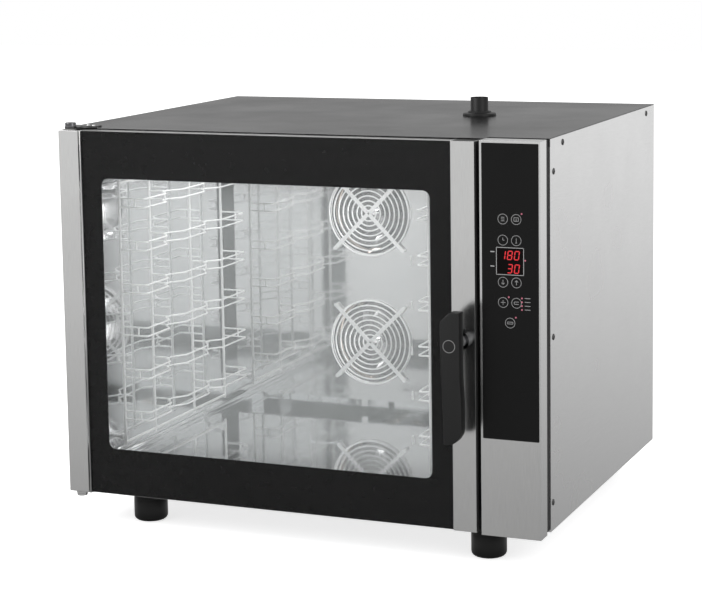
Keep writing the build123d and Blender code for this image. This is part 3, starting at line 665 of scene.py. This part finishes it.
makeVent()

screw = {"radius": 5.6, "proud": 1.9, "recess": 2.1, "depth": 1.0, "edge": 0.5, "sheet": 2.0,
         "places": [(129, 676.6), (695, 676.3), (75.5, 631.6), (72.5, 343.5), (69, 50.7)]}


def makeScrews():
    bm = bmesh.new()
    low, high = span("side_screws")
    radius, proud, recess, edge = screw["radius"], screw["proud"], screw["recess"], screw["edge"]
    profile = [(radius, 0), (radius, edge)]
    for step in range(1, 5):  # the domed head
        turn = math.radians(18 * step)
        profile.append((radius * math.cos(turn), edge + (proud - edge) * math.sin(turn)))
    profile += [(recess, proud), (recess * 0.9, proud - screw["depth"]), (0, proud - screw["depth"])]
    for wallX, outward in ((low.x + screw["sheet"], -1), (high.x - screw["sheet"], 1)):
        for y, z in screw["places"]:
            verts = [bm.verts.new(at(wallX + outward * height, y, z + reach)) for reach, height in profile]
            edges = [bm.edges.new(pair) for pair in zip(verts, verts[1:])]
            bmesh.ops.spin(bm, geom=verts + edges, cent=at(wallX, y, z), axis=(1, 0, 0), angle=2 * math.pi,
                           steps=24, use_merge=True)
    keepPiece("sideScrews", bm, steelDark, "cabinet", ["side_screws"], 50)


makeScrews()
print("feet, vent and screws turned")


studio = {"floorSize": 14.0, "floorColour": 0.92, "floorGlow": 0.7, "keyPower": 60, "fillPower": 20,
          "cavityPower": 1.7, "rearPower": 0.7,
          "sky": [(-1.0, 0.20), (-0.32, 0.28), (-0.10, 0.98), (0.0, 0.90), (0.12, 0.50), (0.5, 0.75),
                  (1.0, 0.9)]}


def makeFloor():
    bm = bmesh.new()
    bmesh.ops.create_grid(bm, x_segments=1, y_segments=1, size=studio["floorSize"])
    mesh = bpy.data.meshes.new("studioFloor")
    bm.to_mesh(mesh)
    bm.free()
    floor = bpy.data.objects.new("studioFloor", mesh)
    bpy.context.scene.collection.objects.link(floor)
    material, shader = newMaterial("paleFloor")
    tone = stretchedNoise(material.node_tree, (1, 1, 1), 2, 2.0)
    pale = studio["floorColour"]
    tint(material.node_tree, tone, (pale, pale, pale), (pale * 1.01,) * 3, shader.inputs["Base Color"])
    shader.inputs["Roughness"].default_value = 0.9
    shader.inputs["Emission Color"].default_value = (1, 1, 1, 1)
    shader.inputs["Emission Strength"].default_value = studio["floorGlow"]
    mesh.materials.append(material)
    floor.visible_glossy = False


def makeWorld():
    world = bpy.data.worlds.new("studioWorld")
    bpy.context.scene.world = world
    world.use_nodes = True
    tree = world.node_tree
    background = tree.nodes["Background"]
    coords = tree.nodes.new("ShaderNodeTexCoord")
    split = tree.nodes.new("ShaderNodeSeparateXYZ")
    ramp = tree.nodes.new("ShaderNodeValToRGB")
    shift = tree.nodes.new("ShaderNodeMapRange")
    shift.inputs["From Min"].default_value = -1
    tree.links.new(coords.outputs["Generated"], split.inputs["Vector"])
    tree.links.new(split.outputs["Z"], shift.inputs["Value"])
    tree.links.new(shift.outputs["Result"], ramp.inputs["Fac"])
    stops = ramp.color_ramp.elements
    while len(stops) < len(studio["sky"]):
        stops.new(0.5)
    for stop, (height, bright) in zip(stops, studio["sky"]):
        stop.position = (height + 1) / 2
        stop.color = (bright, bright, bright, 1)
    seen = tree.nodes.new("ShaderNodeLightPath")
    mix = tree.nodes.new("ShaderNodeMix")
    mix.data_type = "RGBA"
    tree.links.new(seen.outputs["Is Camera Ray"], mix.inputs["Factor"])
    tree.links.new(ramp.outputs["Color"], mix.inputs["A"])
    mix.inputs["B"].default_value = (1, 1, 1, 1)
    tree.links.new(mix.outputs["Result"], background.inputs["Color"])


def areaLight(name, place, target, size, power):
    light = bpy.data.lights.new(name, "AREA")
    light.shape = "RECTANGLE"
    light.size, light.size_y = size
    light.energy = power
    lamp = bpy.data.objects.new(name, light)
    lamp.location = place
    lamp.rotation_euler = (target - place).to_track_quat("-Z", "Y").to_euler()
    lamp.visible_camera = False
    bpy.context.scene.collection.objects.link(lamp)
    return lamp


camera = {"place": (1970.5, -3288.1, 1048.9), "yaw": 0.3989, "pitch": -0.1309, "roll": -0.0152,
          "focal": 105.67, "sensor": 36.0, "shift": -0.147}


def makeCamera():
    data = bpy.data.cameras.new("camera")
    data.sensor_width = camera["sensor"]
    data.lens = camera["focal"]
    data.shift_y = camera["shift"]
    data.clip_end = 100
    holder = bpy.data.objects.new("camera", data)
    bpy.context.scene.collection.objects.link(holder)
    yaw, pitch, roll = camera["yaw"], camera["pitch"], camera["roll"]
    turn = Matrix.Rotation(yaw, 4, "Z") @ Matrix.Rotation(math.radians(90) + pitch, 4, "X")
    holder.matrix_world = Matrix.Translation(at(*camera["place"])) @ turn @ Matrix.Rotation(roll, 4, "Z")
    bpy.context.scene.camera = holder


makeFloor()
makeWorld()
middle = (cadLow + cadHigh) / 2
areaLight("keyLight", Vector((-2.2, -2.6, 2.6)), middle, (2.4, 2.4), studio["keyPower"])
areaLight("fillLight", Vector((3.0, -1.4, 1.8)), middle, (2.0, 2.0), studio["fillPower"])
areaLight("cavityLight", at(cavityMid, 300, 590), at(cavityMid, 300, 0), (0.60, 0.42), studio["cavityPower"])
areaLight("rearLight", at(cavityMid, 612, 340), at(0, 612, 340), (0.05, 0.42), studio["rearPower"])
makeCamera()
bpy.context.scene.view_settings.view_transform = "Standard"
print("studio lit")
